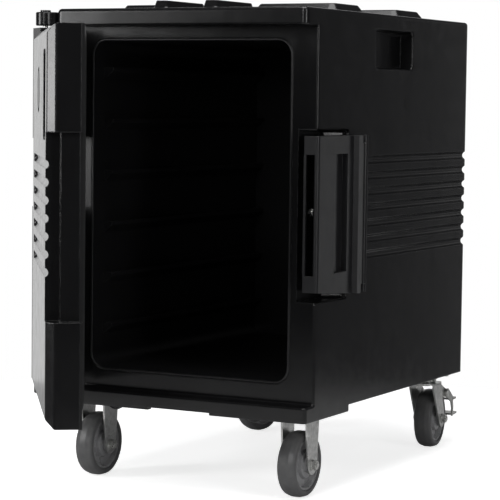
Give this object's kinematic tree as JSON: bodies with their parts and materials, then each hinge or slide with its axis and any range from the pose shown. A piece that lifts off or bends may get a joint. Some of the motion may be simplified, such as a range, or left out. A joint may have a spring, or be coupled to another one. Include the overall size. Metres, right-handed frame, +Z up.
{
  "type": "insulated food carrier",
  "caption": "Insulated front-loading food carrier on casters with a hinged door, a side latch, moulded pan rails, side hand-holds and stacking pads.",
  "frame": {"origin": "on the floor under the middle of the whole object's bounding box, with the door standing open at its rest angle", "axes": "+Z up, +Y from the door side to the back, +X to the right seen from the front"},
  "size_m": [0.4945, 1.0441, 0.742],
  "materials": {
    "shell_plastic": "glossy rotationally moulded black plastic with a faint texture",
    "liner_plastic": "satin black moulded plastic",
    "latch_plastic": "satin black nylon",
    "foam": "rigid insulating foam",
    "gasket": "soft black seal",
    "zinc": "zinc-plated pressed steel",
    "fastener_steel": "bright zinc-plated steel",
    "brass_insert": "turned brass",
    "wheel_plastic": "dark grey moulded nylon",
    "tread": "grey non-marking rubber",
    "pedal_steel": "zinc-plated stamped steel"
  },
  "bodies": {
    "carrier_body": {"outer_shell": "shell_plastic", "hinge_lugs": "shell_plastic", "cavity_liner": "liner_plastic", "pan_rails": "liner_plastic", "body_foam": "foam", "pocket_screw": "fastener_steel", "latch_bracket": "latch_plastic", "latch_pin": "fastener_steel", "latch_screws": "fastener_steel", "hinge_pin": "fastener_steel", "hinge_pin_caps": "latch_plastic", "caster_bolts": "fastener_steel", "caster_inserts": "brass_insert", "fl_fork": "zinc", "fl_axle_bolt": "fastener_steel", "fl_axle_nut": "fastener_steel", "fl_axle_bush": "fastener_steel", "fr_fork": "zinc", "fr_axle_bolt": "fastener_steel", "fr_axle_nut": "fastener_steel", "fr_axle_bush": "fastener_steel", "rl_top_plate": "zinc", "rl_kingpin": "fastener_steel", "rr_top_plate": "zinc", "rr_kingpin": "fastener_steel"},
    "door": {"door_shell": "shell_plastic", "door_inner_panel": "liner_plastic", "door_foam": "foam", "door_gasket": "gasket", "vent_cap": "liner_plastic"},
    "latch": {"latch_handle": "latch_plastic"},
    "fl_wheel": {"fl_wheel_core": "wheel_plastic", "fl_tyre": "tread"},
    "fr_wheel": {"fr_wheel_core": "wheel_plastic", "fr_tyre": "tread"},
    "rl_wheel": {"rl_wheel_core": "wheel_plastic", "rl_tyre": "tread"},
    "rr_wheel": {"rr_wheel_core": "wheel_plastic", "rr_tyre": "tread"},
    "rl_swivel": {"rl_fork": "zinc", "rl_axle_bolt": "fastener_steel", "rl_axle_nut": "fastener_steel", "rl_axle_bush": "fastener_steel", "rl_race_balls": "fastener_steel", "rl_brake_rivets": "fastener_steel"},
    "rl_brake": {"rl_brake_pedal": "pedal_steel"},
    "rr_swivel": {"rr_fork": "zinc", "rr_axle_bolt": "fastener_steel", "rr_axle_nut": "fastener_steel", "rr_axle_bush": "fastener_steel", "rr_race_balls": "fastener_steel", "rr_brake_rivets": "fastener_steel"},
    "rr_brake": {"rr_brake_pedal": "pedal_steel"}
  },
  "joints": [
    {"name": "door_hinge", "type": "hinge", "parent": "carrier_body", "child": "door", "pos_m": [-0.2283, -0.1549, 0.43], "axis": [0, 0, -1], "range_deg": [-53.7, 200]},
    {"name": "latch_pivot", "type": "hinge", "parent": "carrier_body", "child": "latch", "pos_m": [0.2307, 0.0331, 0.423], "axis": [0, 0, 1], "range_deg": [-8, 100]},
    {"name": "fl_wheel_spin", "type": "hinge", "parent": "carrier_body", "child": "fl_wheel", "pos_m": [-0.1673, -0.0879, 0.05], "axis": [1, 0, 0], "continuous": true},
    {"name": "fr_wheel_spin", "type": "hinge", "parent": "carrier_body", "child": "fr_wheel", "pos_m": [0.1867, -0.0879, 0.05], "axis": [1, 0, 0], "continuous": true},
    {"name": "rl_swivel_turn", "type": "hinge", "parent": "carrier_body", "child": "rl_swivel", "pos_m": [-0.1623, 0.4041, 0.116], "axis": [0, 0, 1], "continuous": true},
    {"name": "rl_wheel_spin", "type": "hinge", "parent": "rl_swivel", "child": "rl_wheel", "pos_m": [-0.15565, 0.4354, 0.05], "axis": [0.9781, -0.2079, 0], "continuous": true},
    {"name": "rl_brake_press", "type": "hinge", "parent": "rl_swivel", "child": "rl_brake", "pos_m": [-0.15211, 0.45203, 0.093], "axis": [-0.9781, 0.2079, 0], "range_deg": [0, 3.5]},
    {"name": "rr_swivel_turn", "type": "hinge", "parent": "carrier_body", "child": "rr_swivel", "pos_m": [0.1817, 0.4041, 0.116], "axis": [0, 0, 1], "continuous": true},
    {"name": "rr_wheel_spin", "type": "hinge", "parent": "rr_swivel", "child": "rr_wheel", "pos_m": [0.17836, 0.43592, 0.05], "axis": [0.9945, 0.1045, 0], "continuous": true},
    {"name": "rr_brake_press", "type": "hinge", "parent": "rr_swivel", "child": "rr_brake", "pos_m": [0.17658, 0.45283, 0.093], "axis": [-0.9945, -0.1045, 0], "range_deg": [0, 3.5]}
  ]
}
